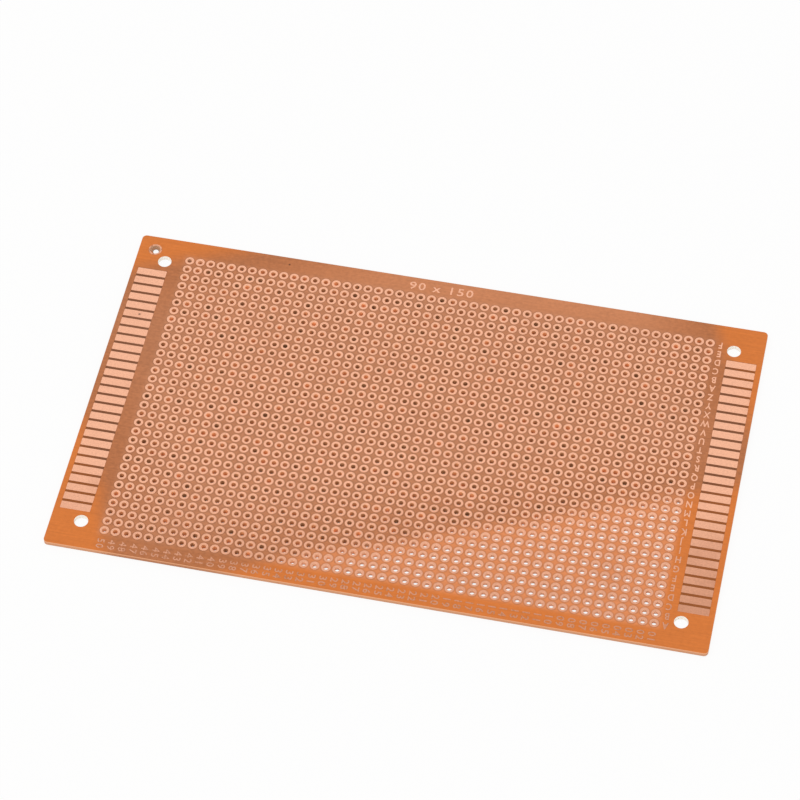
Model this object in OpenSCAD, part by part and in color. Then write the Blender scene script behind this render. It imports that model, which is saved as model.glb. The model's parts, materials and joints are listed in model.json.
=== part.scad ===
/* [Board] */
// Length of the board, along X
board_l = 150; // [148:0.5:160]
// Width of the board, along Y
board_w = 90; // [88:0.5:100]
// Thickness of the bare laminate
board_t = 1.2; // [0.8:0.1:2]
// Radius of the four rounded corners
corner_r = 1; // [0.4:0.1:2.4]

/* [Lead holes and round pads] */
// Distance from one lead hole to the next, in both directions
pitch = 2.54; // [2.4:0.02:2.54]
// Lead holes in one row, along X
cols = 50; // [10:2:50]
// Rows of lead holes, along Y
rows = 32; // [8:2:32]
// Diameter of a lead hole
lead_hole_d = 1.1; // [0.7:0.05:1.3]
// Outer diameter of a round copper pad
pad_d = 2.2; // [1.7:0.05:2.3]

/* [Edge fingers] */
// Length of one copper finger, along X
finger_l = 7; // [4:0.1:8]
// Width of one copper finger, along Y
finger_w = 1.9; // [1.2:0.1:2.2]
// Bare laminate between a finger and the short edge of the board
finger_margin = 1.3; // [0.6:0.1:2]
// Rows of pads that have no finger beside them, at each end of the field
finger_skip = 2; // [2:1:3]

/* [Mounting holes] */
// Diameter of a mounting hole
mount_hole_d = 3.2; // [2.6:0.1:3.5]
// Distance from a mounting hole's centre to both edges at its corner
mount_inset = 7; // [6:0.1:7.2]

/* [Corner tooling hole] */
// Diameter of the tooling hole
tool_hole_d = 2.4; // [1.8:0.1:2.6]
// Outer diameter of the copper ring around the tooling hole
tool_ring_d = 3.2; // [3:0.1:3.6]
// Distance from the tooling hole's centre to both edges at its corner
tool_inset = 3.9; // [3:0.1:4]

/* [Copper foil] */
// Thickness of the copper foil on the top face
foil_t = 0.035; // [0.018:0.001:0.105]

/* [Hidden] */
// Places of the lead holes, counted from the board's centre
function col_x(c) = (c - (cols - 1) / 2) * pitch;
function row_y(r) = (r - (rows - 1) / 2) * pitch;
// Centres of the four mounting holes
mount_x = board_l / 2 - mount_inset;
mount_y = board_w / 2 - mount_inset;
// Centre of the tooling hole, in the back left corner
tool_x = tool_inset - board_l / 2;
tool_y = board_w / 2 - tool_inset;
// Middle of a finger, measured from the board's centre
finger_x = board_l / 2 - finger_margin - finger_l / 2;
// First and last row that has a finger at each end
finger_first = finger_skip;
finger_last = rows - 1 - finger_skip;
// Facets of the drilled holes and of the round pads
hole_fn = 72;
round_fn = 96;

function row_name(r) = str("pad_row_", r < 9 ? "0" : "", r + 1);
ROW_NODES = [for (r = [0 : rows - 1]) row_name(r)];

// A rectangle with four rounded corners, centred
module rounded_plate(l, w, r) {
    square([l - 2 * r, w], center = true);
    square([l, w - 2 * r], center = true);
    for (x = [-1, 1], y = [-1, 1])
        translate([x * (l / 2 - r), y * (w / 2 - r)])
            circle(r = r, $fn = round_fn);
}

// Flat foil that lies on the laminate's top face
module foil() {
    translate([0, 0, board_t])
        linear_extrude(foil_t)
            children();
}

// The holes of one row of the field
module row_holes(r) {
    for (c = [0 : cols - 1])
        translate([col_x(c), row_y(r)])
            circle(d = lead_hole_d, $fn = hole_fn);
}

// The board: one punched and drilled sheet of paper laminate
module laminate() {
    color([0.74, 0.45, 0.27])
        linear_extrude(board_t)
            difference() {
                rounded_plate(board_l, board_w, corner_r);
                for (r = [0 : rows - 1])
                    row_holes(r);
                for (x = [-1, 1], y = [-1, 1])
                    translate([x * mount_x, y * mount_y])
                        circle(d = mount_hole_d, $fn = hole_fn);
                translate([tool_x, tool_y])
                    circle(d = tool_hole_d, $fn = hole_fn);
            }
}

// One row of round pads, each a separate ring of foil around its lead hole
module pad_row(r) {
    color([0.95, 0.70, 0.57])
        foil()
            difference() {
                for (c = [0 : cols - 1])
                    translate([col_x(c), row_y(r)])
                        circle(d = pad_d, $fn = round_fn);
                row_holes(r);
            }
}

// The column of long contact fingers at one short edge
module fingers(side) {
    color([0.95, 0.70, 0.57])
        foil()
            for (r = [finger_first : finger_last])
                translate([side * finger_x, row_y(r)])
                    square([finger_l, finger_w], center = true);
}

// The copper ring around the tooling hole
module tooling_ring() {
    color([0.88, 0.63, 0.50])
        foil()
            translate([tool_x, tool_y])
                difference() {
                    circle(d = tool_ring_d, $fn = round_fn);
                    circle(d = tool_hole_d, $fn = hole_fn);
                }
}

laminate();
for (r = [0 : rows - 1])
    pad_row(r);
fingers(-1);  // fingers_left
fingers(1);  // fingers_right
tooling_ring();
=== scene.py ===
"""Finishes a drilled prototype board: paper laminate, copper foil, etched legend, and the stage it is shown on."""

import json
import math
import random

import bmesh
import bpy
from bpy.props import FloatProperty, FloatVectorProperty, IntProperty, PointerProperty
from mathutils import Color, Matrix, Quaternion, Vector


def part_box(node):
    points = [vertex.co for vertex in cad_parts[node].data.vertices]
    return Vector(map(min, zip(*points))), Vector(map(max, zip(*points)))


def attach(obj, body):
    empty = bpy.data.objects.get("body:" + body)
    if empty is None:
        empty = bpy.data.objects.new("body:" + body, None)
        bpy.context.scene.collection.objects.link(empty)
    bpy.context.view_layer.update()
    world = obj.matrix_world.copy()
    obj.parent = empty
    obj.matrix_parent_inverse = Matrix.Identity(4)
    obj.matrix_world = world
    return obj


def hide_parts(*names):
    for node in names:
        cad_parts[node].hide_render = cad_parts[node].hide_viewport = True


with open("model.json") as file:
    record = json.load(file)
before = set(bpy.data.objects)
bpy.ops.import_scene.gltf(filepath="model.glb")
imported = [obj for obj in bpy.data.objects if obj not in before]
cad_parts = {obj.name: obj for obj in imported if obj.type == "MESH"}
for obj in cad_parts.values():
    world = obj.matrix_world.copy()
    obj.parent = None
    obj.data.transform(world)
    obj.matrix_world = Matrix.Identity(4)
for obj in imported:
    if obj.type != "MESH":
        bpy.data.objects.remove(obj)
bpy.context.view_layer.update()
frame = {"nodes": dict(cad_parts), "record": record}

bl_info = {
    "name": "Prototype board",
    "version": (1, 0, 0),
    "blender": (4, 5, 0),
    "location": "3D View > Sidebar > Prototype board",
    "description": "Finishes a drilled board of paper laminate with copper pads, fingers and legend",
    "category": "Object",
}

MM = 0.001

# Sizes and places that the frame gives
BOARD_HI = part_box("laminate")[1]
BOARD_TOP = BOARD_HI.z
ROW_NAMES = sorted(name for name in frame["nodes"] if name.startswith("pad_row_"))
ROW_BOXES = [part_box(name) for name in ROW_NAMES]
ROW_YS = [(lo.y + hi.y) / 2 for lo, hi in ROW_BOXES]
FOIL_TOP = ROW_BOXES[0][1].z
PAD_D = ROW_BOXES[0][1].y - ROW_BOXES[0][0].y
PITCH = (ROW_YS[-1] - ROW_YS[0]) / (len(ROW_YS) - 1)
COLUMNS = round((ROW_BOXES[0][1].x - ROW_BOXES[0][0].x - PAD_D) / PITCH) + 1
COLUMN_XS = [(column - (COLUMNS - 1) / 2) * PITCH for column in range(COLUMNS)]
FINGER_BOXES = {name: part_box(name) for name in ("fingers_left", "fingers_right")}
FINGER_LO, FINGER_HI = FINGER_BOXES["fingers_left"]
FINGERS = round((FINGER_HI.y - FINGER_LO.y) / PITCH)
FINGER_W = FINGER_HI.y - FINGER_LO.y - (FINGERS - 1) * PITCH
RING_LO, RING_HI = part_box("tooling_ring")
RING_CENTRE = (RING_LO + RING_HI) / 2
MOUNTING = next(m for m in frame["record"]["mounts"] if m["name"] == "mounting_holes")["dims"]


def hole_diameter(name, centre):
    """Twice the distance from a hole's centre to the nearest vertex of the foil ring around it."""
    node = frame["nodes"][name]
    return 2 * min(((node.matrix_world @ vert.co).xy - centre.xy).length for vert in node.data.vertices)


LEAD_HOLE_D = hole_diameter(ROW_NAMES[0], Vector((COLUMN_XS[0], ROW_YS[0])))
TOOL_HOLE_D = hole_diameter("tooling_ring", RING_CENTRE)

# A vertex nearer than this to a lead hole's centre belongs to the hole's rim
RIM_REACH = 0.3 * PITCH
# The same for the tooling hole, in radii of the hole
RIM_SLACK = 1.01
# Vertices of neighbouring cells nearer than this are joined
WELD = PITCH / 100
# The pads and the laminate draw the same punched holes from this seed
PUNCH_SEED = 7
# Segments of a corner of the sheet, a corner of a finger and a curve in a letter's outline
CORNER_SEGMENTS = 8
FINGER_SEGMENTS = 4
STROKE_SEGMENTS = 3
# Height of a capital letter for a font size of 1
CAP_HEIGHT = 0.73
# A face whose normal rises less than the first is a cut, and one that rises more than the second is flat
CUT_SLOPE = 0.5
FLAT_SLOPE = 0.99
# The sheet's materials by index: its two faces, its outline, a lead hole's wall and a large hole's wall
SKIN, EDGE, WALL, BORE = range(4)

# Where the looks change; lengths and places down to the specks are in millimetres

# Painted shade: the resin is painted brown inside a slanted rectangle, as shade from below, and keeps its own
# orange outside it. Its turn, and its lowest and highest corner along its own two directions
PAINTED_SHADE_TURN = math.radians(22.7)
PAINTED_SHADE_LO = Vector((-72.5, -28.0))
PAINTED_SHADE_HI = Vector((75.5, 61.0))
# Depths inside that rectangle at which a change begins and ends: the painted shade turns the resin brown, its
# darker painted border fades to a paler brown, and a lead hole's lower end turns narrow
PAINTED_SHADE_SPAN = (-3.0, 3.0)
PALER_SPAN = (0.0, 20.0)
NARROW_SPAN = (-5.0, 1.0)
# Width of the band within which the clouds move the rectangle's border
BORDER_WANDER = 6
# Places along Y where painted light begins to turn the brown paler towards the back edge, and is full
PALE_BACK_SPAN = (38.0, 43.0)
# Heights on the outer edge where its pale upper line, partly pale paper and partly painted highlight, begins and is
# full
PALE_LINE_SPAN = (0.6 * BOARD_TOP / MM, 0.95 * BOARD_TOP / MM)
# Widths over which a tint fades out: at the field's border, beside a pad and round the fingers (painted shade), in
# the painted glow of the copper, and below the upper face
FIELD_FADE = 0.05
PAD_FADE = 0.3
FINGER_FADE = 0.1
COPPER_GLOW_FADE = 0.8
TOP_FADE = 0.1
# Distances from a lead hole's centre where the crazing of the underside begins to fade and ends
CRAZED_SPAN = (0.62, 1.05)
# Distances past the tooling hole's rim between which its grey wall tint, a painted shade, ends
BORE_SPAN = (0.2, 0.4)
# The noise at which the wall of a lead hole keeps its plain colour: a lower one paints it darker, as painted shade
HOLE_SHADE_LEVEL = 0.58

# Painted shade: how far towards the front edge the copper begins to be painted duller, and is dull, where less light
# reflects from it. Each millimetre to the right counts as this many to the front, and patches move the change within
# a band
FRONT_SHADE_SPAN = (6.0, 54.0)
FRONT_SHADE_SLANT = 0.15
FRONT_SHADE_WANDER = 16
# The noise at which a tarnished patch begins and is full
PATCH_SPAN = (0.50, 0.72)
# Distances beyond the last column between which the copper counts as a finger's
BEYOND_SPAN = (1.5, 2.5)
# The noise at which rubbed copper begins, the step to bare laminate, and how far a larger share lowers both
RUBBED_START = 0.62
RUBBED_STEP = 0.10
RUBBED_DROP = 0.4
# How dull each copper is, and how much of it is rubbed off
COPPERS = {"etched_copper": (0.0, 0.0), "rubbed_copper": (0.35, 0.35), "faint_copper": (0.35, 0.22)}
# Small dark specks: the place on the board and the radius
SPECKS = ((-38.8, 42.9, 0.35), (-69.9, 21.5, 0.40))

# The floor's half side and how far it lies under the sheet, both in metres
FLOOR_HALF = 6.0
FLOOR_DROP = 0.02 * MM
FLOOR_COLOUR = (0.86, 0.86, 0.86)
ROOM_COLOUR = (1.0, 0.985, 0.97)
WHITE = (1.0, 1.0, 1.0)


def tone(red, green, blue):
    """The scene-linear numbers of a colour that a picker shows as 0 to 255."""
    seen = Color((red / 255, green / 255, blue / 255))
    return tuple(seen.from_srgb_to_scene_linear())


def length(name, description, size):
    """A property for a length, given in millimetres."""
    return FloatProperty(name=name, description=description, default=size * MM, unit="LENGTH", precision=5)


def amount(name, description, default):
    """A property for a share or another plain number that isn't negative."""
    return FloatProperty(name=name, description=description, default=default, min=0)


def angle(name, description, degrees):
    """A property for an angle, given in degrees."""
    return FloatProperty(name=name, description=description, default=math.radians(degrees), subtype="ANGLE")


def colour(name, description, red, green, blue):
    """A property for a colour, given as 0 to 255."""
    return FloatVectorProperty(
        name=name,
        description=description,
        default=tone(red, green, blue),
        subtype="COLOR",
        min=0,
        max=1,
    )


class BoardSizes(bpy.types.PropertyGroup):
    """Sizes of the sheet and its holes that the frame doesn't give"""

    corner_r: length("Corner radius", "Radius of the sheet's four corners", 1.0)
    edge_round: length("Edge rounding", "Rounding of the cut edge where it meets the faces", 0.08)
    lead_hole_d: length("Lead hole", "Diameter of a lead hole at the copper side", LEAD_HOLE_D / MM)
    lower_end_brown: length("Lower end, brown", "Diameter of a lead hole's lower end where the resin is brown", 0.7)
    lower_end_orange: length("Lower end, orange", "Diameter of its lower end where the resin is orange", 1.5)
    tool_hole_d: length("Tooling hole", "Diameter of the hole in the corner", TOOL_HOLE_D / MM)
    tool_lower_d: length("Tooling hole, lower end", "Diameter of its torn lower end", 1.3)
    tool_lower_shift: length("Tooling hole, lean", "How far its lower end sits off its centre, along Y", 0.3)
    punch_shift: length("Punch shift, brown", "How far the lead holes sit off their pads' centres, along Y", 0.02)
    orange_shift: length("Punch shift, orange", "The same where the resin is orange", -0.05)
    punch_wander: length("Punch wander", "Spread of the single lead holes about their places", 0.035)
    pad_flank: length("Pad flank", "Width of the etched slope round a pad", 0.02)
    rolled_rim: length("Rolled rim", "Width of the copper that the punch drew into the hole", 0.05)
    finger_corner: length("Finger corner", "Radius of a contact finger's four corners", 0.18)
    finger_shift: length("Finger shift", "How far the fingers sit off their rows, along Y", -0.1)
    lead_hole_sides: IntProperty(
        name="Lead hole sides",
        description="Segments round a lead hole and its pad",
        default=16,
        min=12,
    )
    large_hole_sides: IntProperty(
        name="Large hole sides",
        description="Segments round a mounting hole or the tooling hole",
        default=56,
        min=24,
    )


class LegendSizes(bpy.types.PropertyGroup):
    """Sizes and places of the etched letters and numbers"""

    row_letter_h: length("Row letter height", "Height of the letter beside a row", 1.8)
    row_letter_w: amount("Row letter width", "Share of the font's own width", 0.8)
    row_letter_x: length("Row letter place", "Middle of the letters, along X", 64.7)
    row_letter_drop: length("Row letter drop", "How far a letter's middle is below its row's middle", 0.3)
    column_digit_h: length("Column digit height", "Height of a digit under a column", 1.75)
    column_first_y: length("First digit place", "Middle of the first digits, along Y", -42.25)
    column_second_y: length("Second digit place", "Middle of the second digits, along Y", -43.7)
    size_mark_h: length("Size mark height", "Height of the numbers at the back edge", 2.2)
    size_mark_w: amount("Size mark width", "Share of the font's own width", 1.2)
    size_mark_x: length("Size mark place", "Middle of the size mark, along X", -2.05)
    size_mark_y: length("Size mark line", "Middle of the size mark, along Y", 42.55)
    size_mark_spacing: amount("Size mark spacing", "Spacing of its numbers", 1.2)
    letter_growth: length("Letter growth", "How much wider a letter's stroke is than the font's, each side", 0.07)
    digit_growth: length("Digit growth", "How much wider a number's stroke is than the font's, each side", 0.045)


class BoardFinish(bpy.types.PropertyGroup):
    """Colours of the laminate and the copper, and how strongly their textures show"""

    # The brown resin is painted shade, the laminate as shaded from below; the orange resin is its own tone. Where a
    # setting below speaks of brown resin, it means that painted shade.
    resin_painted_shade: colour("Brown resin", "Laminate where the resin is brown", 182, 117, 79)
    resin_orange: colour("Orange resin", "Laminate where the resin is orange", 210, 118, 52)
    # The pale edge is partly the pale paper of the cut and partly a painted highlight along the rounded edge; the
    # brown edge is painted shade
    pale_paper_and_highlight: colour("Pale edge", "Sheared edge along the copper side, where the paper shows", 240, 176, 134)
    edge_painted_shade: colour("Brown edge", "Sheared edge below that, where the resin is brown", 190, 130, 94)
    edge_orange: colour("Orange edge", "Sheared edge below that, where the resin is orange", 214, 156, 118)
    # The brown wall is painted shade; the pale wall is pale paper brightened as painted light from below
    wall_painted_shade: colour("Brown wall", "Wall of a lead hole where the resin is brown", 231, 167, 119)
    wall_pale_painted_light: colour("Pale wall", "Wall of a lead hole where the resin is orange", 255, 210, 178)
    # The pale bore is pale paper brightened as painted light; the grey bore is painted shade
    bore_pale_painted_light: colour("Pale bore", "Wall of a mounting hole", 255, 250, 242)
    bore_painted_shade: colour("Grey bore", "Wall of the tooling hole", 196, 160, 130)
    copper_clean: colour("Clean copper", "Copper foil where it is clean", 248, 188, 156)
    # The dull copper serves both the real tarnished patches and a painted shade towards the front right
    copper_dull_tarnish_and_shade: colour("Dull copper", "Copper foil where it has tarnished", 211, 152, 122)

    fibre_contrast: amount("Fibres", "How strongly the paper's fibres show in the laminate", 0.30)
    cloud_contrast: amount("Clouds", "How strongly large soft clouds show in the laminate", 0.16)
    spots_brown: amount("Spots, brown", "How strongly fine spots show where the resin is brown", 0.44)
    spots_orange: amount("Spots, orange", "The same where the resin is orange", 0.22)
    # The copper haze is a painted glow of the bright copper over the laminate between the pads
    copper_glow_brown: amount("Copper haze, brown", "Copper that etching left between the pads in brown resin", 0.08)
    copper_glow_orange: amount("Copper haze, orange", "The same in orange resin", 0.19)
    # The red and dark border is painted shade at the edge of the shaded rectangle, and the pale back edge is painted
    # light
    border_red: amount("Red border", "How much of the orange tint the brown takes on beside the orange", 0.30)
    border_painted_shade: amount("Dark border", "How much darker the brown is beside the orange", 0.15)
    back_painted_light: amount("Pale back edge", "How much paler the brown is along the back edge", 0.22)
    # The pad borders and finger gaps are painted shade; the specks are real marks
    pad_shadow: amount("Pad borders", "How much darker the laminate is close to a pad", 0.25)
    gap_shadow: amount("Finger gaps", "How much darker the laminate is between the contact fingers", 0.55)
    speck_darkness: amount("Specks", "How much darker the specks on the laminate are", 0.65)
    copper_speck_darkness: amount("Specks on copper", "How much darker the specks on the copper are", 0.60)
    crazing: amount("Crazing", "How pale the punch made the resin round a hole's lower end", 0.45)
    ply_contrast: amount("Plies", "How strongly the pressed paper plies show in a cut", 0.28)
    torn_contrast: amount("Torn fibres", "How strongly torn fibres show in a cut", 0.30)
    # The burnt holes are painted shade that differs from hole to hole
    hole_shade_contrast: amount("Burnt holes", "How much the lead holes' walls differ where the resin is brown", 1.9)
    painted_wall_glow: amount("Wall glow", "Share of plain daylight that reaches those walls through the sheet", 0.03)
    grain_contrast: amount("Copper grain", "How strongly the copper's matt grain shows", 0.60)
    rolling_contrast: amount("Rolling marks", "How strongly the copper's rolling marks show", 0.10)
    # The pad tarnish is the pads' share of the painted shade on the copper
    pad_front_shade: amount("Pad tarnish", "How dull the pads get, as a share of how dull the fingers get", 0.60)
    patch_tarnish: amount("Tarnished patches", "How dull the tarnished patches are", 0.15)


class StageSettings(bpy.types.PropertyGroup):
    """The camera, the lamps and the floor"""

    aim: FloatVectorProperty(
        name="Aim",
        description="Point of the board's top face at the middle of the picture",
        default=(-4.91 * MM, 9.05 * MM, 1.235 * MM),
        subtype="XYZ",
        unit="LENGTH",
    )
    distance: length("Distance", "From the camera to the point it aims at", 799.9)
    azimuth: angle("Azimuth", "Direction of the camera round the board, from the front edge to the right", 13.11)
    elevation: angle("Elevation", "Height of the camera above the board's plane", 53.45)
    roll: angle("Roll", "Turn of the camera about its own axis", -1.40)
    lens: FloatProperty(name="Lens", description="Focal length on a 36 mm sensor", default=156.84)
    room_light: amount("Room light", "Strength of the even light of the room", 0.97)
    lamp_power: FloatProperty(name="Lamp power", description="Power of the soft lamp", default=2.2, subtype="POWER")
    lamp_size: length("Lamp size", "Side of the square soft lamp", 1000.0)
    lamp_distance: length("Lamp distance", "From the soft lamp to the board", 1500.0)
    lamp_direction: FloatVectorProperty(
        name="Lamp direction",
        description="Direction from the board to the soft lamp",
        default=(-0.50, -0.45, 0.74),
        subtype="DIRECTION",
    )
    floor_white: amount("Floor white", "Share of plain white in the floor that is seen; the rest is lit", 0.90)


class Graph:
    """The node tree of one new material or world"""

    def __init__(self, owner):
        owner.use_nodes = True
        self.owner = owner
        self.tree = owner.node_tree
        self.tree.nodes.clear()

    def node(self, kind, settings=None, sockets=None):
        """A new node as the Field of its first output: settings come first, then its sockets by identifier."""
        made = self.tree.nodes.new("ShaderNode" + kind)
        for name, value in (settings or {}).items():
            setattr(made, name, value)
        for identifier, value in (sockets or {}).items():
            self.feed(next(s for s in made.inputs if s.identifier == identifier), value)
        return Field(self, made.outputs[0] if made.outputs else None)

    def feed(self, socket, value):
        """Links a Field to a socket, or sets a plain value on it."""
        if isinstance(value, Field):
            self.tree.links.new(value.socket, socket)
        elif isinstance(value, (tuple, Color)) and socket.type == "RGBA":
            socket.default_value = (*value, 1.0)
        else:
            socket.default_value = value

    def math(self, operation, first, second=0.0, clamp=False):
        """A Math node on one or two numbers or Fields."""
        return self.node("Math", {"operation": operation, "use_clamp": clamp}, {"Value": first, "Value_001": second})

    def least(self, first, second):
        """The smaller of two Fields."""
        return self.math("MINIMUM", first, second)

    def reach(self, across, along):
        """The distance that two Fields at a right angle make up."""
        return self.math("SQRT", across * across + along * along)

    def place(self):
        """The point on the surface, in millimetres in the part's own frame."""
        place = self.node("TexCoord").output("Object")
        return self.node("VectorMath", {"operation": "SCALE"}, {"Vector": place, "Scale": 1 / MM})

    def noise(self, place, grain, detail=3.0, roughness=0.55):
        """Soft noise about 0.5 whose patches measure grain along X, Y and Z, in millimetres."""
        stretched = self.node("Mapping", None, {"Vector": place, "Scale": [1 / size for size in grain]})
        sockets = {"Vector": stretched, "Scale": 1.0, "Detail": detail, "Roughness": roughness}
        return self.node("TexNoise", {"noise_dimensions": "3D"}, sockets)

    def ramp(self, value, start, end):
        """0 below start, 1 above end, with a smooth step between."""
        settings = {"interpolation_type": "SMOOTHSTEP"}
        return self.node("MapRange", settings, {"Value": value, "From Min": start, "From Max": end})

    def mix(self, first, second, factor):
        """A blend of two colours."""
        sockets = {"Factor_Float": factor, "A_Color": first, "B_Color": second}
        return self.node("Mix", {"data_type": "RGBA"}, sockets).output("Result_Color")

    def shade(self, tint, factor):
        """A colour made darker or brighter by a factor."""
        return self.node("VectorMath", {"operation": "SCALE"}, {"Vector": tint, "Scale": factor})

    def bump(self, height, depth):
        """A normal for a height Field from 0 to 1 that stands for that depth in millimetres."""
        return self.node("Bump", None, {"Height": height, "Strength": 1.0, "Distance": depth * MM})

    def surface(self, sockets):
        """Ends the tree in a Principled surface with those sockets and returns the material."""
        shader = self.node("BsdfPrincipled", None, sockets)
        self.node("OutputMaterial", None, {"Surface": shader})
        return self.owner


class Field:
    """A number, vector or colour that varies over a surface. Python's operators on it add Math nodes."""

    def __init__(self, graph, socket):
        self.graph = graph
        self.socket = socket

    def output(self, name):
        """Another output of the same node, by identifier."""
        outputs = self.socket.node.outputs
        return Field(self.graph, next(s for s in outputs if s.identifier == name))

    def axes(self):
        """The three numbers of a vector."""
        parts = self.graph.node("SeparateXYZ", None, {"Vector": self})
        return parts, parts.output("Y"), parts.output("Z")

    def __add__(self, other):
        return self.graph.math("ADD", self, other)

    def __sub__(self, other):
        return self.graph.math("SUBTRACT", self, other)

    def __rsub__(self, other):
        return self.graph.math("SUBTRACT", other, self)

    def __mul__(self, other):
        return self.graph.math("MULTIPLY", self, other)

    def __truediv__(self, other):
        return self.graph.math("DIVIDE", self, other)

    def __abs__(self):
        return self.graph.math("ABSOLUTE", self)

    __radd__ = __add__
    __rmul__ = __mul__

    def clamped(self):
        """The number kept between 0 and 1."""
        return self.graph.math("ADD", self, 0.0, clamp=True)


def blend(first, second, share):
    """A number from first, at share 0, to second, at share 1; the share may be a Field."""
    return first + (second - first) * share


def swing(texture, contrast):
    """A texture about 0.5 as a change about 0."""
    return (texture - 0.5) * contrast


def distance_to_hole(graph, x, y):
    """How far a point is from the nearest lead hole's centre, in millimetres."""
    pitch = PITCH / MM
    beside = (graph.math("FRACT", x / pitch + COLUMNS / 2) - 0.5) * pitch
    above = (graph.math("FRACT", y / pitch + len(ROW_YS) / 2) - 0.5) * pitch
    return graph.reach(beside, above)


def inside_box(graph, x, y, lo, hi, soft):
    """1 inside a rectangle and 0 outside it, with a soft edge; the corners are in metres."""
    middle = (lo + hi) / 2 / MM
    half = (hi - lo) / 2 / MM
    along = 1 - graph.ramp(abs(x - middle.x), half.x - soft, half.x + soft)
    across = 1 - graph.ramp(abs(y - middle.y), half.y - soft, half.y + soft)
    return along * across


def inside_field(graph, x, y, soft):
    """1 in the field of lead holes and 0 outside it, with a soft edge."""
    corner = Vector((COLUMN_XS[0] - PITCH / 2, ROW_YS[0] - PITCH / 2, 0))
    return inside_box(graph, x, y, corner, -corner, soft)


def painted_shade_depth(x, y, least=min):
    """How far inside the rectangle of painted shade a point lies, in millimetres; it works on Fields and on numbers.
    """
    along = x * math.cos(PAINTED_SHADE_TURN) + y * math.sin(PAINTED_SHADE_TURN)
    across = y * math.cos(PAINTED_SHADE_TURN) - x * math.sin(PAINTED_SHADE_TURN)
    middle = (PAINTED_SHADE_LO + PAINTED_SHADE_HI) / 2
    half = (PAINTED_SHADE_HI - PAINTED_SHADE_LO) / 2
    return least(half.x - abs(along - middle.x), half.y - abs(across - middle.y))


def resin_clouds(graph, place):
    """Large soft clouds in the resin, the same for its faces and its cuts."""
    return graph.noise(place, (22.0, 16.0, 10.0))


def unshaded_share(graph, x, y, clouds=0.5):
    """1 where the resin keeps its own orange and 0 inside the painted shade, where it is painted brown; clouds make
    the border wander.
    """
    depth = painted_shade_depth(x, y, graph.least) + swing(clouds, BORDER_WANDER)
    return 1 - graph.ramp(depth, *PAINTED_SHADE_SPAN)


def specks(graph, x, y):
    """1 on the small dark specks and 0 elsewhere."""
    found = 0.0
    for centre_x, centre_y, radius in SPECKS:
        reach = graph.reach(x - centre_x, y - centre_y)
        found = found + (1 - graph.ramp(reach, radius * 0.4, radius))
    return found


def painted_shade_and_specks(graph, finish, x, y):
    """How much darker the copper side is painted: painted shade close to the pads and between the fingers, and the
    dark specks.
    """
    pad_r = PAD_D / 2 / MM
    near = 1 - graph.ramp(distance_to_hole(graph, x, y), pad_r, pad_r + PAD_FADE)
    beside_pad = inside_field(graph, x, y, FIELD_FADE) * near
    left, right = (inside_box(graph, x, y, *box, FINGER_FADE) for box in FINGER_BOXES.values())
    dark = specks(graph, x, y) * finish.speck_darkness
    return beside_pad * finish.pad_shadow + (left + right) * finish.gap_shadow + dark


def laminate_skin(name, finish):
    """The resin-rich face of the paper laminate, painted brown in the painted shade and its own orange elsewhere,
    with faint fibres.
    """
    graph = Graph(bpy.data.materials.new(name))
    place = graph.place()
    x, y, z = place.axes()
    fibres = graph.noise(place, (7.0, 0.35, 1.0), 4.0)
    clouds = resin_clouds(graph, place)
    spots = graph.noise(place, (0.9, 0.7, 1.0), 2.0)
    tooth = graph.noise(place, (0.09, 0.07, 0.08), 2.0)
    orange = unshaded_share(graph, x, y, clouds)
    # Painted shade: the brown is redder and darker at its border beside the orange. Painted light makes it paler
    # along the back edge
    paler = graph.ramp(painted_shade_depth(x, y, graph.least), *PALER_SPAN)
    redder = orange + (1 - orange) * (1 - paler) * finish.border_red
    resin = graph.mix(finish.resin_painted_shade, finish.resin_orange, redder)
    back = paler * graph.ramp(y, *PALE_BACK_SPAN) * finish.back_painted_light
    light = 1 + ((paler - 1) * finish.border_painted_shade + back) * (1 - orange)
    light = light + swing(fibres, finish.fibre_contrast) + swing(clouds, finish.cloud_contrast)
    light = light + swing(spots, blend(finish.spots_brown, finish.spots_orange, orange))
    # Painted glow: the bright copper's light is painted over the laminate between the pads
    haze = inside_field(graph, x, y, COPPER_GLOW_FADE) * blend(finish.copper_glow_brown, finish.copper_glow_orange, orange)
    resin = graph.mix(resin, finish.copper_clean, haze)
    # Painted shade: the laminate is darker close to the copper, on the copper side only
    top = graph.ramp(z, BOARD_TOP / MM - TOP_FADE, BOARD_TOP / MM)
    light = light * (1 - top * painted_shade_and_specks(graph, finish, x, y))
    # The punch crazes the resin round each hole at the underside
    round_hole = 1 - graph.ramp(distance_to_hole(graph, x, y), *CRAZED_SPAN)
    crazed = (1 - top) * inside_field(graph, x, y, FIELD_FADE) * round_hole * finish.crazing
    return graph.surface({
        "Base Color": graph.mix(graph.shade(resin, light), finish.pale_paper_and_highlight, crazed),
        "Roughness": 0.42 + swing(clouds, 0.15) + swing(tooth, 0.10),
        "Normal": graph.bump(fibres * 0.6 + tooth * 0.4, 0.012),
        "Specular IOR Level": 0.2,
    })


def sheared_edge(graph, finish, place):
    """The colour of the outer edge: a pale line along the copper side, partly the paper's pale cut and partly a
    painted highlight, and below it the resin's tint, painted brown in the painted shade.
    """
    x, y, z = place.axes()
    orange = unshaded_share(graph, x, y, resin_clouds(graph, place))
    below = graph.mix(finish.edge_painted_shade, finish.edge_orange, orange)
    return graph.mix(below, finish.pale_paper_and_highlight, graph.ramp(z, *PALE_LINE_SPAN))


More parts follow.
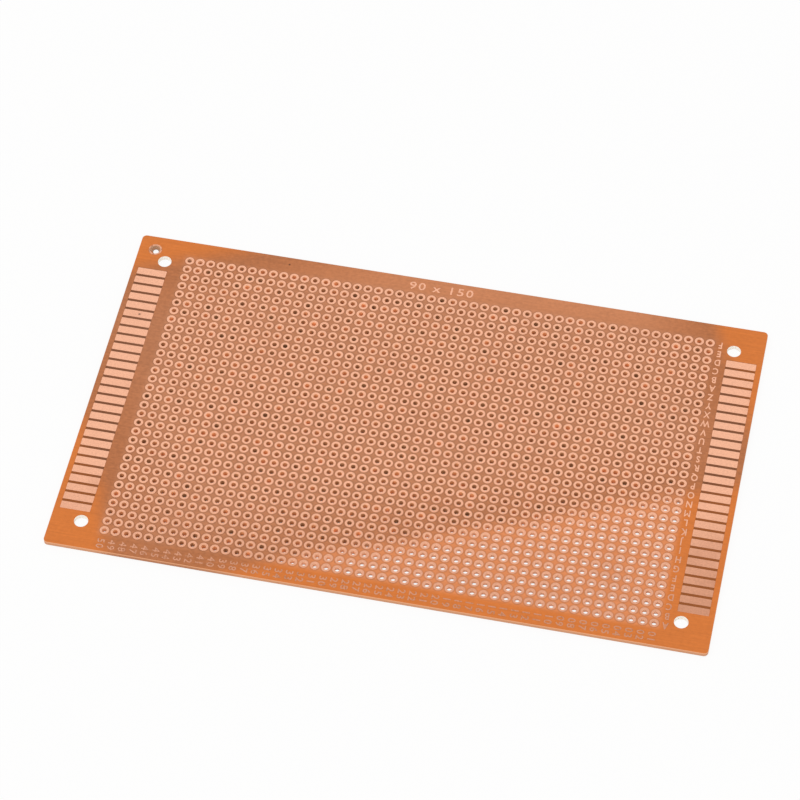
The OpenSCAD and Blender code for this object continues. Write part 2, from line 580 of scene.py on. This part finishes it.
def punched_wall(graph, finish, place):
    """The colour of a lead hole's wall: painted brown in the painted shade, and pale paper brightened as painted
    light outside it.
    """
    x, y, _ = place.axes()
    orange = unshaded_share(graph, x, y, resin_clouds(graph, place))
    # Painted shade: no two holes are shaded alike inside the painted shade
    hole_shade = (graph.noise(place, (2.2, 2.0, 40.0), 2.0) - HOLE_SHADE_LEVEL) * (1 - orange) * finish.hole_shade_contrast
    return graph.shade(graph.mix(finish.wall_painted_shade, finish.wall_pale_painted_light, orange), 1 + hole_shade)


def bored_wall(graph, finish, place):
    """The colour of a large hole's wall: pale paper brightened as painted light in the mounting holes, and grey as
    painted shade in the tooling hole.
    """
    x, y, _ = place.axes()
    reach = graph.reach(x - RING_CENTRE.x / MM, y - RING_CENTRE.y / MM)
    outside = graph.ramp(reach - TOOL_HOLE_D / MM / 2, *BORE_SPAN)
    return graph.mix(finish.bore_painted_shade, finish.bore_pale_painted_light, outside)


def laminate_cut(name, finish, paper_colour, glow=0.0):
    """A sheared or punched wall of the sheet: its paper plies show, and outside the painted shade a painted glow
    stands for daylight through the sheet.
    """
    graph = Graph(bpy.data.materials.new(name))
    place = graph.place()
    x, y, _ = place.axes()
    plies = graph.noise(place, (2.5, 2.5, 0.045))
    torn = graph.noise(place, (0.25, 0.25, 0.10))
    paper = paper_colour(graph, finish, place)
    grain = 1 + swing(plies, finish.ply_contrast) + swing(torn, finish.torn_contrast)
    return graph.surface({
        "Base Color": graph.shade(paper, grain),
        # Painted glow: emission stands for daylight that comes through the sheet
        "Emission Color": graph.shade(paper, unshaded_share(graph, x, y)),
        "Emission Strength": glow,
        "Roughness": 0.68 + swing(torn, 0.25),
        "Normal": graph.bump(plies * 0.5 + torn * 0.5, 0.03),
        "Specular IOR Level": 0.12,
    })


def copper_foil(name, finish, tarnish, bare):
    """Rolled copper foil with a matt grain; tarnish is how dull it is, and bare how much is rubbed off."""
    graph = Graph(bpy.data.materials.new(name))
    place = graph.place()
    x, y, _ = place.axes()
    grain = graph.noise(place, (0.45, 0.35, 0.3), 3.0, 0.7)
    rolled = graph.noise(place, (3.0, 0.2, 1.0), 2.0)
    patches = graph.noise(place, (9.0, 7.0, 5.0))
    # Painted shade: the copper is painted duller towards the front right, where less light reflects from it
    front_shade = graph.ramp(x * FRONT_SHADE_SLANT - y + swing(patches, FRONT_SHADE_WANDER), *FRONT_SHADE_SPAN)
    # The pads take less of this painted shade than the fingers beside them
    beyond = graph.ramp(abs(x) - COLUMN_XS[-1] / MM, *BEYOND_SPAN)
    front_shade = front_shade * blend(finish.pad_front_shade, 1, beyond)
    dull = (tarnish + front_shade + graph.ramp(patches, *PATCH_SPAN) * finish.patch_tarnish).clamped()
    metal = graph.mix(finish.copper_clean, finish.copper_dull_tarnish_and_shade, dull)
    shine = 1 + swing(grain, finish.grain_contrast) + swing(rolled, finish.rolling_contrast)
    start = RUBBED_START - bare * RUBBED_DROP
    rubbed = graph.ramp(graph.noise(place, (0.5, 0.7, 0.5)), start, start + RUBBED_STEP) * math.ceil(bare)
    tint = graph.mix(graph.shade(metal, shine), finish.resin_painted_shade, rubbed)
    return graph.surface({
        "Base Color": graph.shade(tint, 1 - specks(graph, x, y) * finish.copper_speck_darkness),
        "Metallic": 1 - rubbed,
        "Roughness": 0.42 + dull * 0.08 + swing(grain, 0.20),
        "Normal": graph.bump(grain * 0.7 + rolled * 0.3, 0.006),
    })


def stage_floor(name, settings):
    """A plain white floor that keeps a faint shadow of the board."""
    graph = Graph(bpy.data.materials.new(name))
    path = graph.node("LightPath")
    shown = path + path.output("Is Glossy Ray") + path.output("Is Transmission Ray")
    lit = graph.node("BsdfDiffuse", None, {"Color": FLOOR_COLOUR})
    plain = graph.node("Emission", None, {"Color": WHITE, "Strength": 1.0})
    share = shown.clamped() * settings.floor_white
    both = graph.node("MixShader", None, {"Fac": share, "Shader": lit, "Shader_001": plain})
    graph.node("OutputMaterial", None, {"Surface": both})
    return graph.owner


def material(name, make, *details):
    """The material of that name, made once and shared."""
    return bpy.data.materials.get(name) or make(name, *details)


def copper(name, finish):
    """One of the coppers."""
    return material(name, copper_foil, finish, *COPPERS[name])


def mesh_of(bm, name):
    """Ends a bmesh as a new mesh."""
    mesh = bpy.data.meshes.new(name)
    bm.to_mesh(mesh)
    bm.free()
    return mesh


def put(name, data):
    """A new object in the scene."""
    made = bpy.data.objects.new(name, data)
    bpy.context.scene.collection.objects.link(made)
    return made


def finish_piece(bm, name, materials, slot, *nodes):
    """Turns a bmesh into a finished piece that rides with the board and stands for those CAD nodes."""
    bm.normal_update()
    for face in bm.faces:
        face.smooth = True
    for edge in bm.edges:
        flat = [abs(face.normal.z) > FLAT_SLOPE for face in edge.link_faces]
        edge.smooth = len(set(flat)) == 1
    mesh = mesh_of(bm, name)
    for finish in materials:
        mesh.materials.append(finish)
    piece = put(name, mesh)
    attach(piece, "root")
    if nodes:
        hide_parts(*nodes)


def only_verts(geom):
    """The vertices in a list of bmesh elements."""
    return [item for item in geom if isinstance(item, bmesh.types.BMVert)]


def painted_shade_share(point):
    """1 for a lead hole inside the painted shade and 0 for one outside it."""
    start, end = NARROW_SPAN
    return max(0, min(1, (painted_shade_depth(*(point / MM)) - start) / (end - start)))


def punched_places(sizes, row):
    """How far each lead hole of a row sits off its pad's centre: a shift inside or outside the painted shade, and a
    wander of its own.
    """
    chance = random.Random(PUNCH_SEED * len(ROW_YS) + row)
    spread = sizes.punch_wander
    places = []
    for x in COLUMN_XS:
        shift = blend(sizes.orange_shift, sizes.punch_shift, painted_shade_share(Vector((x, ROW_YS[row]))))
        places.append(Vector((chance.uniform(-spread, spread), shift + chance.uniform(-spread, spread), 0)))
    return places


def repeat_along_row(bm, sizes, row):
    """Copies what is in bm from the origin to each column of a row, and moves each rim to its punched place."""
    pattern = bm.verts[:] + bm.edges[:] + bm.faces[:]
    for x, off in zip(COLUMN_XS, punched_places(sizes, row)):
        centre = Vector((x, ROW_YS[row], 0))
        verts = only_verts(bmesh.ops.duplicate(bm, geom=pattern)["geom"])
        bmesh.ops.translate(bm, vec=centre, verts=verts)
        rim = [vert for vert in verts if (vert.co.xy - centre.xy).length < RIM_REACH]
        bmesh.ops.translate(bm, vec=off, verts=rim)
    bmesh.ops.delete(bm, geom=only_verts(pattern))


def ring_edges(verts):
    """The edges that join those vertices to each other, in their order."""
    kept = set(verts)
    return list(dict.fromkeys(edge for vert in verts for edge in vert.link_edges if set(edge.verts) <= kept))


def laminate_row(sizes, row):
    """A mesh of one row's square cells, each with its lead hole, at height 0."""
    bm = bmesh.new()
    bmesh.ops.create_grid(bm, x_segments=1, y_segments=1, size=PITCH / 2)
    border = bm.edges[:]
    bmesh.ops.delete(bm, geom=bm.faces[:], context="FACES_ONLY")
    hole = bmesh.ops.create_circle(bm, segments=sizes.lead_hole_sides, radius=sizes.lead_hole_d / 2)
    bmesh.ops.bridge_loops(bm, edges=border + ring_edges(hole["verts"]))
    repeat_along_row(bm, sizes, row)
    return mesh_of(bm, "laminate_row")


def add_field(bm, sizes):
    """Adds all rows of cells with their lead holes, and returns the edges of the field's border."""
    for row in range(len(ROW_YS)):
        mesh = laminate_row(sizes, row)
        bm.from_mesh(mesh)
        bpy.data.meshes.remove(mesh)
    bmesh.ops.remove_doubles(bm, verts=bm.verts[:], dist=WELD)
    return [edge for edge in bm.edges if edge.is_boundary and edge.calc_length() > PITCH / 2]


def outline_point(point, sizes, inset):
    """Moves a point of the outline inwards, square to the edge, round the corners too."""
    core = Vector((BOARD_HI.x - sizes.corner_r, BOARD_HI.y - sizes.corner_r))
    anchor = Vector((max(-core.x, min(core.x, point.x)), max(-core.y, min(core.y, point.y))))
    reach = (point.xy - anchor).normalized() * (sizes.corner_r - inset)
    return anchor + reach


def add_outline(bm, sizes):
    """Adds the sheet's outline with its round corners, as far in as its edge is rounded, and returns its edges."""
    plate = bmesh.ops.create_grid(bm, x_segments=1, y_segments=1, size=1)["verts"]
    bmesh.ops.scale(bm, vec=(BOARD_HI.x, BOARD_HI.y, 1), verts=plate)
    outline = bmesh.ops.bevel(
        bm,
        geom=plate,
        offset=sizes.corner_r,
        segments=CORNER_SEGMENTS,
        profile=0.5,
        affect="VERTICES",
        material=-1,
    )["verts"]
    edges = ring_edges(outline)
    bmesh.ops.delete(bm, geom=list({face for vert in outline for face in vert.link_faces}), context="FACES_ONLY")
    for vert in outline:
        vert.co.xy = outline_point(vert.co, sizes, sizes.edge_round)
    return edges


def add_large_holes(bm, sizes):
    """Adds the rims of the tooling hole and the four mounting holes, and returns their edges."""
    holes = [(RING_CENTRE.x, RING_CENTRE.y, sizes.tool_hole_d / 2)]
    for side in (-1, 1):
        for end in (-1, 1):
            x = side * MOUNTING["spacing_x_mm"] / 2 * MM
            y = end * MOUNTING["spacing_y_mm"] / 2 * MM
            holes.append((x, y, MOUNTING["hole_r_mm"] * MM))
    edges = []
    for x, y, radius in holes:
        place = Matrix.Translation((x, y, 0))
        made = bmesh.ops.create_circle(bm, segments=sizes.large_hole_sides, radius=radius, matrix=place)
        edges += ring_edges(made["verts"])
    return edges


def build_sheet(sizes):
    """The drilled sheet as one closed solid, its outline, walls and holes shaped from its top face."""
    bm = bmesh.new()
    rims = add_field(bm, sizes)
    rims += add_outline(bm, sizes)
    rims += add_large_holes(bm, sizes)
    bmesh.ops.triangle_fill(bm, use_beauty=True, edges=rims, normal=(0, 0, 1))
    bmesh.ops.translate(bm, vec=(0, 0, BOARD_TOP), verts=bm.verts[:])
    lower = only_verts(bmesh.ops.extrude_face_region(bm, geom=bm.faces[:])["geom"])
    bmesh.ops.translate(bm, vec=(0, 0, -BOARD_TOP), verts=lower)
    taper_lead_holes(sizes, lower)
    lean_tooling_hole(sizes, lower)
    round_outline(bm, sizes)
    bmesh.ops.recalc_face_normals(bm, faces=bm.faces[:])
    return bm


def taper_lead_holes(sizes, lower):
    """Gives each lead hole's lower end its own width: narrow inside the painted shade, else torn wide."""
    offs = [punched_places(sizes, row) for row in range(len(ROW_YS))]
    for vert in lower:
        column = round(vert.co.x / PITCH + (COLUMNS - 1) / 2)
        row = round(vert.co.y / PITCH + (len(ROW_YS) - 1) / 2)
        if 0 <= column < COLUMNS and 0 <= row < len(ROW_YS):
            nominal = Vector((COLUMN_XS[column], ROW_YS[row]))
            if (vert.co.xy - nominal).length < RIM_REACH:
                lower_d = blend(sizes.lower_end_orange, sizes.lower_end_brown, painted_shade_share(nominal))
                centre = nominal + offs[row][column].xy
                vert.co.xy = centre + (vert.co.xy - centre) * lower_d / sizes.lead_hole_d


def lean_tooling_hole(sizes, lower):
    """Narrows the tooling hole's lower end and sets it off the hole's centre."""
    centre = RING_CENTRE.xy
    for vert in lower:
        if (vert.co.xy - centre).length < sizes.tool_hole_d / 2 * RIM_SLACK:
            reach = (vert.co.xy - centre) * sizes.tool_lower_d / sizes.tool_hole_d
            vert.co.xy = centre + reach + Vector((0, sizes.tool_lower_shift))


def near_outline(point, sizes):
    """True for a point that lies within a corner's radius of the sheet's outline."""
    return abs(point.x) > BOARD_HI.x - sizes.corner_r or abs(point.y) > BOARD_HI.y - sizes.corner_r


def round_outline(bm, sizes):
    """Rounds the cut edge over where it meets the two faces."""
    soft = sizes.edge_round
    knee = soft * (1 - math.sqrt(0.5))
    # The loops from the underside up: how far in from the outline, and how high
    loops = [(knee, knee), (0, soft), (0, BOARD_TOP - soft), (knee, BOARD_TOP - knee)]
    upright = [
        edge
        for edge in bm.edges
        if abs(edge.verts[0].co.z - edge.verts[1].co.z) > BOARD_TOP / 2
        and near_outline(edge.verts[0].co, sizes)
    ]
    cut = bmesh.ops.subdivide_edges(bm, edges=upright, cuts=len(loops))["geom_inner"]
    for vert in only_verts(cut):
        inset, height = loops[round(vert.co.z / BOARD_TOP * (len(loops) + 1)) - 1]
        vert.co.xy = outline_point(vert.co, sizes, inset)
        vert.co.z = height


def kind_of_cut(point, sizes):
    """The material index of a cut face: on the outline, in the field of lead holes, or in a large hole."""
    if near_outline(point, sizes):
        return EDGE
    in_field = abs(point.x) < COLUMN_XS[-1] + PITCH / 2 and abs(point.y) < ROW_YS[-1] + PITCH / 2
    return WALL if in_field else BORE


def pad_ring(sizes):
    """One ring of foil at the origin, spun from its section: an etched flank outside, a rolled rim inside."""
    bm = bmesh.new()
    outer = PAD_D / 2
    inner = sizes.lead_hole_d / 2
    section = [
        (outer, BOARD_TOP),
        (outer - sizes.pad_flank, FOIL_TOP),
        (inner + sizes.rolled_rim, FOIL_TOP),
        (inner, BOARD_TOP),
    ]
    verts = [bm.verts.new((radius, 0, height)) for radius, height in section]
    edges = [bm.edges.new((verts[i - 1], verts[i])) for i in range(len(verts))]
    bmesh.ops.spin(
        bm,
        geom=verts + edges,
        axis=(0, 0, 1),
        cent=(0, 0, 0),
        angle=math.tau,
        steps=sizes.lead_hole_sides,
        use_merge=True,
    )
    bmesh.ops.recalc_face_normals(bm, faces=bm.faces[:])
    return bm


def finger_bars(sizes, box):
    """The contact fingers of one short edge: bars of foil with rounded corners and etched flanks."""
    lo, hi = box
    bm = bmesh.new()
    thickness = FOIL_TOP - BOARD_TOP
    middle = BOARD_TOP + thickness / 2
    for finger in range(FINGERS):
        bar = bmesh.ops.create_cube(bm, size=1)["verts"]
        bmesh.ops.scale(bm, vec=(hi.x - lo.x, FINGER_W, thickness), verts=bar)
        y = lo.y + FINGER_W / 2 + finger * PITCH + sizes.finger_shift
        bmesh.ops.translate(bm, vec=((lo.x + hi.x) / 2, y, middle), verts=bar)
    upright = [edge for edge in bm.edges if (edge.verts[0].co.z - middle) * (edge.verts[1].co.z - middle) < 0]
    soften(bm, upright, sizes.finger_corner, FINGER_SEGMENTS)
    rims = [edge for edge in bm.edges if min(vert.co.z for vert in edge.verts) > middle]
    soften(bm, rims, sizes.pad_flank, 1)
    return bm


def soften(bm, edges, offset, segments):
    """Bevels those edges."""
    bmesh.ops.bevel(bm, geom=edges, offset=offset, segments=segments, profile=0.5, affect="EDGES", material=-1)


def add_word(bm, words, height, growth, centre, turn, width=1.0, spacing=1.0):
    """Adds a flat word of foil whose letters are that high, centred and turned about Z."""
    # Its strokes grow by a bevelled flank, because the font's M can't be filled once its outline has grown
    curve = bpy.data.curves.new("word", "FONT")
    curve.body = words
    curve.size = height / MM / CAP_HEIGHT
    curve.resolution_u = STROKE_SEGMENTS
    curve.bevel_depth = growth / MM
    curve.bevel_resolution = 0
    curve.space_character = spacing
    curve.extrude = (FOIL_TOP - BOARD_TOP) / 2 / MM
    holder = bpy.data.objects.new("word", curve)
    mesh = bpy.data.meshes.new_from_object(holder)
    xs = [vert.co.x for vert in mesh.vertices]
    ys = [vert.co.y for vert in mesh.vertices]
    middle = Vector(((min(xs) + max(xs)) / 2, (min(ys) + max(ys)) / 2, 0))
    flatter = curve.extrude / (curve.extrude + curve.bevel_depth)
    place = Matrix.Translation((*centre, (BOARD_TOP + FOIL_TOP) / 2)) @ Matrix.Rotation(turn, 4, "Z")
    mesh.transform(place @ Matrix.Diagonal((width * MM, MM, flatter * MM, 1)) @ Matrix.Translation(-middle))
    bm.from_mesh(mesh)
    bpy.data.meshes.remove(mesh)
    bpy.data.objects.remove(holder)
    bpy.data.curves.remove(curve)


def row_letters(sizes):
    """The letters beside the rows: A to Z, and from A again."""
    bm = bmesh.new()
    for row, y in enumerate(ROW_YS):
        letter = chr(ord("A") + row % 26)
        centre = (sizes.row_letter_x, y - sizes.row_letter_drop)
        add_word(bm, letter, sizes.row_letter_h, sizes.letter_growth, centre, math.pi, sizes.row_letter_w)
    return bm


def column_numbers(sizes):
    """The two-digit numbers under the columns, counted from the right."""
    bm = bmesh.new()
    for column, x in enumerate(reversed(COLUMN_XS)):
        for digit, y in zip(f"{column + 1:02d}", (sizes.column_first_y, sizes.column_second_y)):
            add_word(bm, digit, sizes.column_digit_h, sizes.digit_growth, (x, y), -math.pi / 2)
    return bm


def size_mark(sizes):
    """The board's width and length in millimetres, at the back edge."""
    bm = bmesh.new()
    numbers = f"{BOARD_HI.y * 2 / MM:.0f} x {BOARD_HI.x * 2 / MM:.0f}"
    centre = (sizes.size_mark_x, sizes.size_mark_y)
    width, spacing = sizes.size_mark_w, sizes.size_mark_spacing
    add_word(bm, numbers, sizes.size_mark_h, sizes.digit_growth, centre, 0, width, spacing)
    return bm


class PROTO_BOARD_OT_laminate(bpy.types.Operator):
    """Make the drilled sheet of paper laminate"""

    bl_idname = "proto_board.laminate"
    bl_label = "Laminate"

    def execute(self, context):
        sizes = context.scene.board_sizes
        finish = context.scene.board_finish
        bm = build_sheet(sizes)
        bm.normal_update()
        for face in bm.faces:
            cut = abs(face.normal.z) < CUT_SLOPE
            face.material_index = kind_of_cut(face.calc_center_median(), sizes) if cut else SKIN
        materials = [
            material("laminate_skin", laminate_skin, finish),
            material("sheared_edge", laminate_cut, finish, sheared_edge),
            material("punched_wall", laminate_cut, finish, punched_wall, finish.painted_wall_glow),
            material("bored_wall", laminate_cut, finish, bored_wall),
        ]
        finish_piece(bm, "drilled_sheet", materials, "laminate", "laminate")
        return {"FINISHED"}


class PROTO_BOARD_OT_pads(bpy.types.Operator):
    """Make the round pads, one piece for each row"""

    bl_idname = "proto_board.pads"
    bl_label = "Round pads"

    def execute(self, context):
        sizes = context.scene.board_sizes
        foil = copper("etched_copper", context.scene.board_finish)
        for row, node in enumerate(ROW_NAMES):
            bm = pad_ring(sizes)
            repeat_along_row(bm, sizes, row)
            finish_piece(bm, f"solder_pads_{row + 1:02d}", [foil], "copper_foil", node)
        return {"FINISHED"}


class PROTO_BOARD_OT_fingers(bpy.types.Operator):
    """Make the contact fingers, and give the tooling ring its rubbed copper"""

    bl_idname = "proto_board.fingers"
    bl_label = "Fingers and tooling ring"

    def execute(self, context):
        finish = context.scene.board_finish
        foil = copper("etched_copper", finish)
        for node, box in FINGER_BOXES.items():
            bm = finger_bars(context.scene.board_sizes, box)
            finish_piece(bm, node.replace("fingers", "contact_fingers"), [foil], "copper_foil", node)
        frame["nodes"]["tooling_ring"].material_slots[0].material = copper("rubbed_copper", finish)
        return {"FINISHED"}


class PROTO_BOARD_OT_legend(bpy.types.Operator):
    """Etch the row letters, the column numbers and the size mark"""

    bl_idname = "proto_board.legend"
    bl_label = "Legend"

    def execute(self, context):
        finish = context.scene.board_finish
        legend = (
            ("row_letters", row_letters, "etched_copper"),
            ("column_numbers", column_numbers, "faint_copper"),
            ("size_mark", size_mark, "etched_copper"),
        )
        for name, make, foil in legend:
            bm = make(context.scene.legend_sizes)
            finish_piece(bm, name, [copper(foil, finish)], "copper_foil")
        return {"FINISHED"}


class PROTO_BOARD_OT_stage(bpy.types.Operator):
    """Set up the floor, the lamps and the camera"""

    bl_idname = "proto_board.stage"
    bl_label = "Stage"

    def execute(self, context):
        scene = context.scene
        settings = scene.stage_settings
        self.make_floor(settings)
        self.make_room(scene, settings)
        self.make_lamp(settings)
        self.make_camera(scene, settings)
        scene.view_settings.view_transform = "Standard"
        return {"FINISHED"}

    def make_floor(self, settings):
        """Lays the floor just under the board."""
        bm = bmesh.new()
        bmesh.ops.create_grid(bm, x_segments=1, y_segments=1, size=FLOOR_HALF)
        bmesh.ops.translate(bm, vec=(0, 0, -FLOOR_DROP), verts=bm.verts[:])
        mesh = mesh_of(bm, "floor")
        mesh.materials.append(material("stage_floor", stage_floor, settings))
        floor = put("floor", mesh)

    def make_room(self, scene, settings):
        """Lights the room evenly, and shows it white to the camera."""
        graph = Graph(bpy.data.worlds.new("room"))
        path = graph.node("LightPath")
        even = graph.node("Background", None, {"Color": ROOM_COLOUR, "Strength": settings.room_light})
        seen = graph.node("Background", None, {"Color": WHITE, "Strength": 1.0})
        both = graph.node("MixShader", None, {"Fac": path, "Shader": even, "Shader_001": seen})
        graph.node("OutputWorld", None, {"Surface": both})
        scene.world = graph.owner

    def make_lamp(self, settings):
        """Hangs the soft lamp and points it at the board."""
        light = bpy.data.lights.new("soft_lamp", "AREA")
        light.energy = settings.lamp_power
        light.size = settings.lamp_size
        lamp = put("soft_lamp", light)
        direction = Vector(settings.lamp_direction).normalized()
        lamp.location = direction * settings.lamp_distance
        lamp.rotation_mode = "QUATERNION"
        lamp.rotation_quaternion = (-direction).to_track_quat("-Z", "Y")

    def make_camera(self, scene, settings):
        """Sets up the camera and points it at its aim."""
        lens = bpy.data.cameras.new("camera")
        lens.lens = settings.lens
        lens.sensor_width = 36.0
        camera = put("camera", lens)
        back = Vector((
            math.sin(settings.azimuth) * math.cos(settings.elevation),
            -math.cos(settings.azimuth) * math.cos(settings.elevation),
            math.sin(settings.elevation),
        ))
        camera.location = Vector(settings.aim) + back * settings.distance
        camera.rotation_mode = "QUATERNION"
        level = (-back).to_track_quat("-Z", "Y")
        camera.rotation_quaternion = level @ Quaternion((0, 0, 1), settings.roll)
        scene.camera = camera


class PROTO_BOARD_PT_panel(bpy.types.Panel):
    """Lists the pieces and their settings"""

    bl_label = "Prototype board"
    bl_idname = "PROTO_BOARD_PT_panel"
    bl_space_type = "VIEW_3D"
    bl_region_type = "UI"
    bl_category = "Prototype board"

    def draw(self, context):
        layout = self.layout
        for operator in OPERATORS:
            layout.operator(operator.bl_idname)
        for name, _ in SETTINGS:
            group = getattr(context.scene, name)
            box = layout.box()
            for key in group.bl_rna.properties.keys():
                if key not in ("rna_type", "name"):
                    box.prop(group, key)


SETTINGS = (
    ("board_sizes", BoardSizes),
    ("legend_sizes", LegendSizes),
    ("board_finish", BoardFinish),
    ("stage_settings", StageSettings),
)
OPERATORS = (
    PROTO_BOARD_OT_laminate,
    PROTO_BOARD_OT_pads,
    PROTO_BOARD_OT_fingers,
    PROTO_BOARD_OT_legend,
    PROTO_BOARD_OT_stage,
)


def register():
    for name, group in SETTINGS:
        bpy.utils.register_class(group)
        setattr(bpy.types.Scene, name, PointerProperty(type=group))
    for operator in OPERATORS:
        bpy.utils.register_class(operator)
    bpy.utils.register_class(PROTO_BOARD_PT_panel)


def unregister():
    bpy.utils.unregister_class(PROTO_BOARD_PT_panel)
    for operator in reversed(OPERATORS):
        bpy.utils.unregister_class(operator)
    for name, group in reversed(SETTINGS):
        delattr(bpy.types.Scene, name)
        bpy.utils.unregister_class(group)


def main():
    """Makes every piece and the stage."""
    register()
    bpy.ops.proto_board.laminate()
    bpy.ops.proto_board.pads()
    bpy.ops.proto_board.fingers()
    bpy.ops.proto_board.legend()
    bpy.ops.proto_board.stage()


if __name__ == "__main__":
    main()
